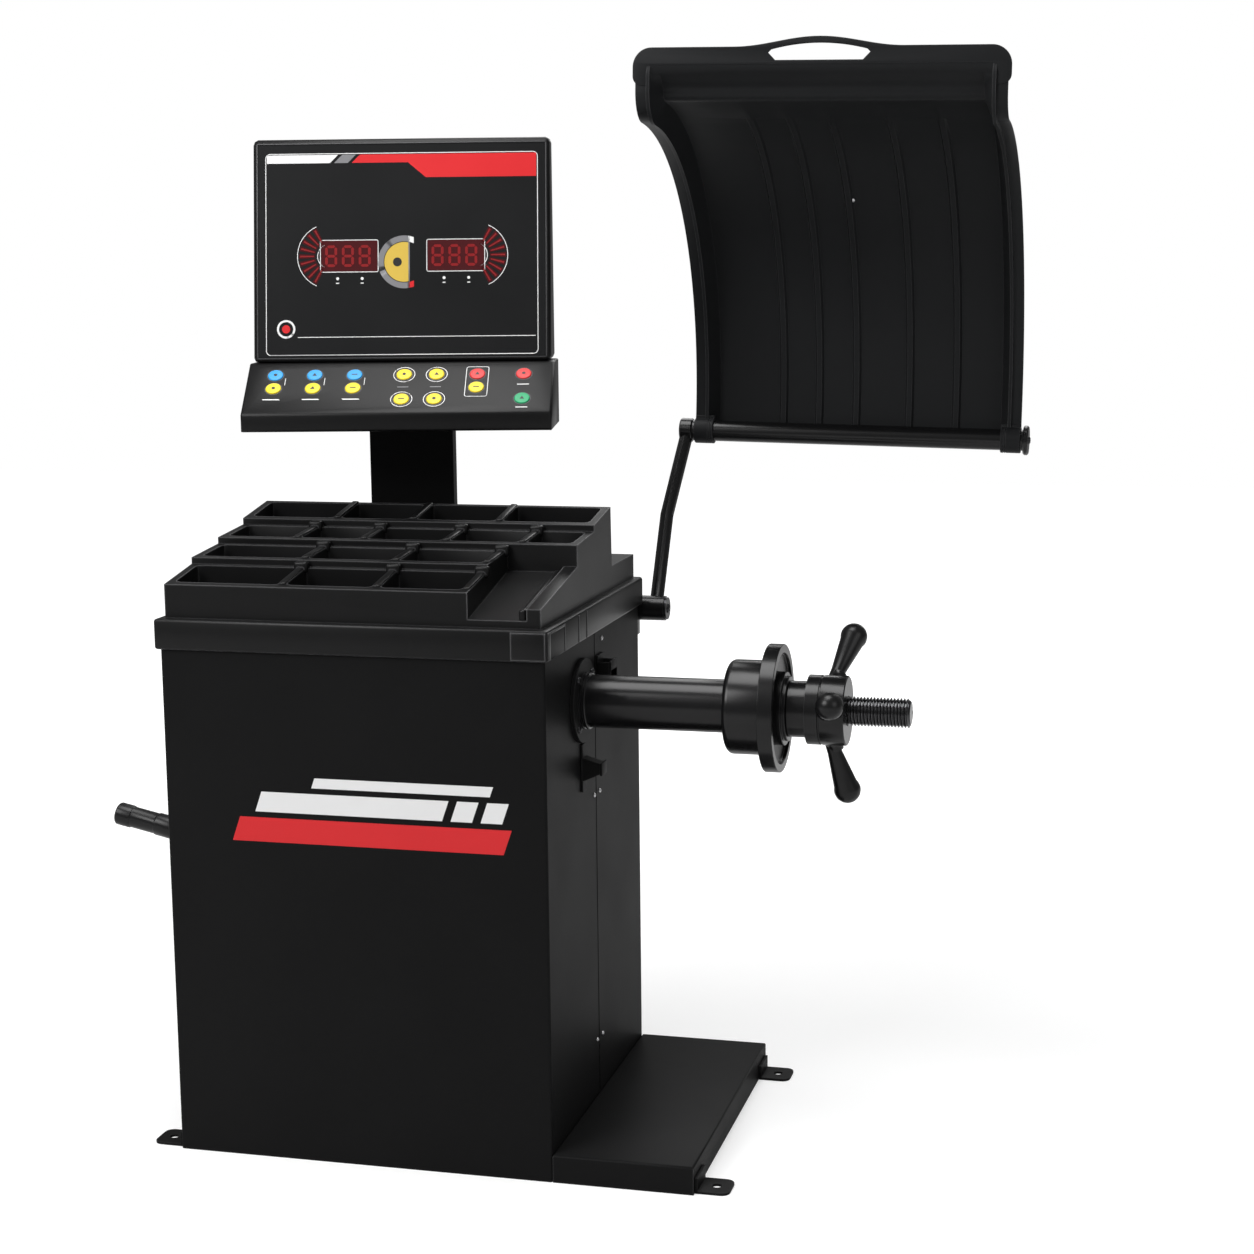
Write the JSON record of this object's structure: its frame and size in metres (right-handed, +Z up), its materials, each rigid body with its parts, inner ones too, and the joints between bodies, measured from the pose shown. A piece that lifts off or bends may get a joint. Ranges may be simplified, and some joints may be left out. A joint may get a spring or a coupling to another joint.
{
  "type": "wheel balancer",
  "caption": "Floor-standing wheel balancer with a threaded spindle, quick nut, stepped weight tray, tilted display with keypad and a swing-down wheel guard.",
  "frame": {"origin": "middle of the cabinet's footprint on the floor", "axes": "+X to the right along the spindle, +Y to the back, +Z up"},
  "size_m": [1.2757, 0.7318, 1.5236],
  "materials": {
    "cabinet_paint": "satin powder coat",
    "tray_plastic": "satin moulded",
    "hood_plastic": "satin moulded",
    "spindle_steel": "blackened, turned",
    "thread_steel": "dark oiled",
    "plain_steel": "machined",
    "handle_plastic": "satin",
    "panel_film": "printed film",
    "key_blue": "satin",
    "key_yellow": "satin",
    "key_red": "satin",
    "key_green": "satin",
    "belt_rubber": "matte",
    "motor_paint": "satin",
    "board_green": "satin",
    "inlet_plastic": "satin"
  },
  "bodies": {
    "machine": {"base_pan": "cabinet_paint", "side_platform": "cabinet_paint", "anchor_tab_front_left": "cabinet_paint", "anchor_tab_rear_left": "cabinet_paint", "anchor_tab_front_right": "cabinet_paint", "anchor_tab_rear_right": "cabinet_paint", "cabinet_front_shell": "cabinet_paint", "cabinet_rear_cover": "cabinet_paint", "weight_tray": "tray_plastic", "display_post": "cabinet_paint", "display_housing": "tray_plastic", "display_panel": "panel_film", "display_board": "board_green", "keypad_console": "tray_plastic", "spindle_pedestal": "cabinet_paint", "spindle_housing": "spindle_steel", "housing_side_plate": "cabinet_paint", "bearing_inner": "plain_steel", "bearing_outer": "plain_steel", "force_sensor": "plain_steel", "drive_motor": "motor_paint", "motor_bracket": "cabinet_paint", "drive_belt": "belt_rubber", "encoder_sensor": "inlet_plastic", "tool_hook_upper": "cabinet_paint", "tool_hook_lower": "cabinet_paint", "accessory_peg": "handle_plastic", "hood_pivot_bracket": "cabinet_paint", "hood_pivot_shaft": "plain_steel", "power_inlet": "inlet_plastic", "power_board": "board_green"},
    "spindle": {"main_shaft": "thread_steel", "driven_pulley": "plain_steel", "encoder_disc": "plain_steel", "backing_flange": "spindle_steel"},
    "motor_rotor": {"motor_pulley": "plain_steel"},
    "pressure_slide": {"pressure_sleeve": "spindle_steel"},
    "nut": {"quick_nut": "spindle_steel", "nut_handle_1": "handle_plastic", "nut_handle_2": "handle_plastic", "nut_handle_3": "handle_plastic"},
    "hood": {"hood_arm": "cabinet_paint", "hood_tube": "cabinet_paint", "hood_shell": "hood_plastic", "hood_end_cap": "cabinet_paint"},
    "rocker": {"power_rocker": "key_red"},
    "key_blue_left": {"key_blue_left": "key_blue"},
    "key_blue_middle": {"key_blue_middle": "key_blue"},
    "key_blue_right": {"key_blue_right": "key_blue"},
    "key_yellow_left": {"key_yellow_left": "key_yellow"},
    "key_yellow_middle": {"key_yellow_middle": "key_yellow"},
    "key_yellow_right": {"key_yellow_right": "key_yellow"},
    "key_ring_upper_left": {"key_ring_upper_left": "key_yellow"},
    "key_ring_upper_right": {"key_ring_upper_right": "key_yellow"},
    "key_ring_lower_left": {"key_ring_lower_left": "key_yellow"},
    "key_ring_lower_right": {"key_ring_lower_right": "key_yellow"},
    "key_mode_red": {"key_mode_red": "key_red"},
    "key_mode_yellow": {"key_mode_yellow": "key_yellow"},
    "key_stop_red": {"key_stop_red": "key_red"},
    "key_start_green": {"key_start_green": "key_green"}
  },
  "joints": [
    {"name": "spindle_spin", "type": "hinge", "parent": "machine", "child": "spindle", "pos_m": [0, -0.0754, 0.631], "axis": [1, 0, 0], "continuous": true},
    {"name": "motor_spin", "type": "hinge", "parent": "machine", "child": "motor_rotor", "pos_m": [0, 0.11, 0.4], "axis": [1, 0, 0], "continuous": true},
    {"name": "nut_slide", "type": "slide", "parent": "spindle", "child": "pressure_slide", "axis": [1, 0, 0], "range_m": [0, 0.08]},
    {"name": "nut_turn", "type": "hinge", "parent": "pressure_slide", "child": "nut", "pos_m": [0.618, -0.0754, 0.631], "axis": [1, 0, 0], "range_deg": [0, 7200]},
    {"name": "hood_swing", "type": "hinge", "parent": "machine", "child": "hood", "pos_m": [0, 0.281, 0.706], "axis": [1, 0, 0], "range_deg": [0, 60]},
    {"name": "rocker_tip", "type": "hinge", "parent": "machine", "child": "rocker", "pos_m": [0.15, 0.2515, 0.171], "axis": [1, 0, 0], "range_deg": [0, 15]},
    {"name": "key_blue_left_press", "type": "slide", "parent": "machine", "child": "key_blue_left", "axis": [-0.1341, 0.6149, -0.7771], "range_m": [0, 0.001], "stiffness_N_per_m": 300},
    {"name": "key_blue_middle_press", "type": "slide", "parent": "machine", "child": "key_blue_middle", "axis": [-0.1341, 0.6149, -0.7771], "range_m": [0, 0.001], "stiffness_N_per_m": 300},
    {"name": "key_blue_right_press", "type": "slide", "parent": "machine", "child": "key_blue_right", "axis": [-0.1341, 0.6149, -0.7771], "range_m": [0, 0.001], "stiffness_N_per_m": 300},
    {"name": "key_yellow_left_press", "type": "slide", "parent": "machine", "child": "key_yellow_left", "axis": [-0.1341, 0.6149, -0.7771], "range_m": [0, 0.001], "stiffness_N_per_m": 300},
    {"name": "key_yellow_middle_press", "type": "slide", "parent": "machine", "child": "key_yellow_middle", "axis": [-0.1341, 0.6149, -0.7771], "range_m": [0, 0.001], "stiffness_N_per_m": 300},
    {"name": "key_yellow_right_press", "type": "slide", "parent": "machine", "child": "key_yellow_right", "axis": [-0.1341, 0.6149, -0.7771], "range_m": [0, 0.001], "stiffness_N_per_m": 300},
    {"name": "key_ring_upper_left_press", "type": "slide", "parent": "machine", "child": "key_ring_upper_left", "axis": [-0.1341, 0.6149, -0.7771], "range_m": [0, 0.001], "stiffness_N_per_m": 300},
    {"name": "key_ring_upper_right_press", "type": "slide", "parent": "machine", "child": "key_ring_upper_right", "axis": [-0.1341, 0.6149, -0.7771], "range_m": [0, 0.001], "stiffness_N_per_m": 300},
    {"name": "key_ring_lower_left_press", "type": "slide", "parent": "machine", "child": "key_ring_lower_left", "axis": [-0.1341, 0.6149, -0.7771], "range_m": [0, 0.001], "stiffness_N_per_m": 300},
    {"name": "key_ring_lower_right_press", "type": "slide", "parent": "machine", "child": "key_ring_lower_right", "axis": [-0.1341, 0.6149, -0.7771], "range_m": [0, 0.001], "stiffness_N_per_m": 300},
    {"name": "key_mode_red_press", "type": "slide", "parent": "machine", "child": "key_mode_red", "axis": [-0.1341, 0.6149, -0.7771], "range_m": [0, 0.001], "stiffness_N_per_m": 300},
    {"name": "key_mode_yellow_press", "type": "slide", "parent": "machine", "child": "key_mode_yellow", "axis": [-0.1341, 0.6149, -0.7771], "range_m": [0, 0.001], "stiffness_N_per_m": 300},
    {"name": "key_stop_red_press", "type": "slide", "parent": "machine", "child": "key_stop_red", "axis": [-0.1341, 0.6149, -0.7771], "range_m": [0, 0.001], "stiffness_N_per_m": 300},
    {"name": "key_start_green_press", "type": "slide", "parent": "machine", "child": "key_start_green", "axis": [-0.1341, 0.6149, -0.7771], "range_m": [0, 0.001], "stiffness_N_per_m": 300}
  ],
  "couplings": [
    {"joint": "motor_spin", "follows": "spindle_spin", "ratio": 2.5},
    {"joint": "nut_slide", "follows": "nut_turn", "m_per_rad": 0.00063662}
  ]
}
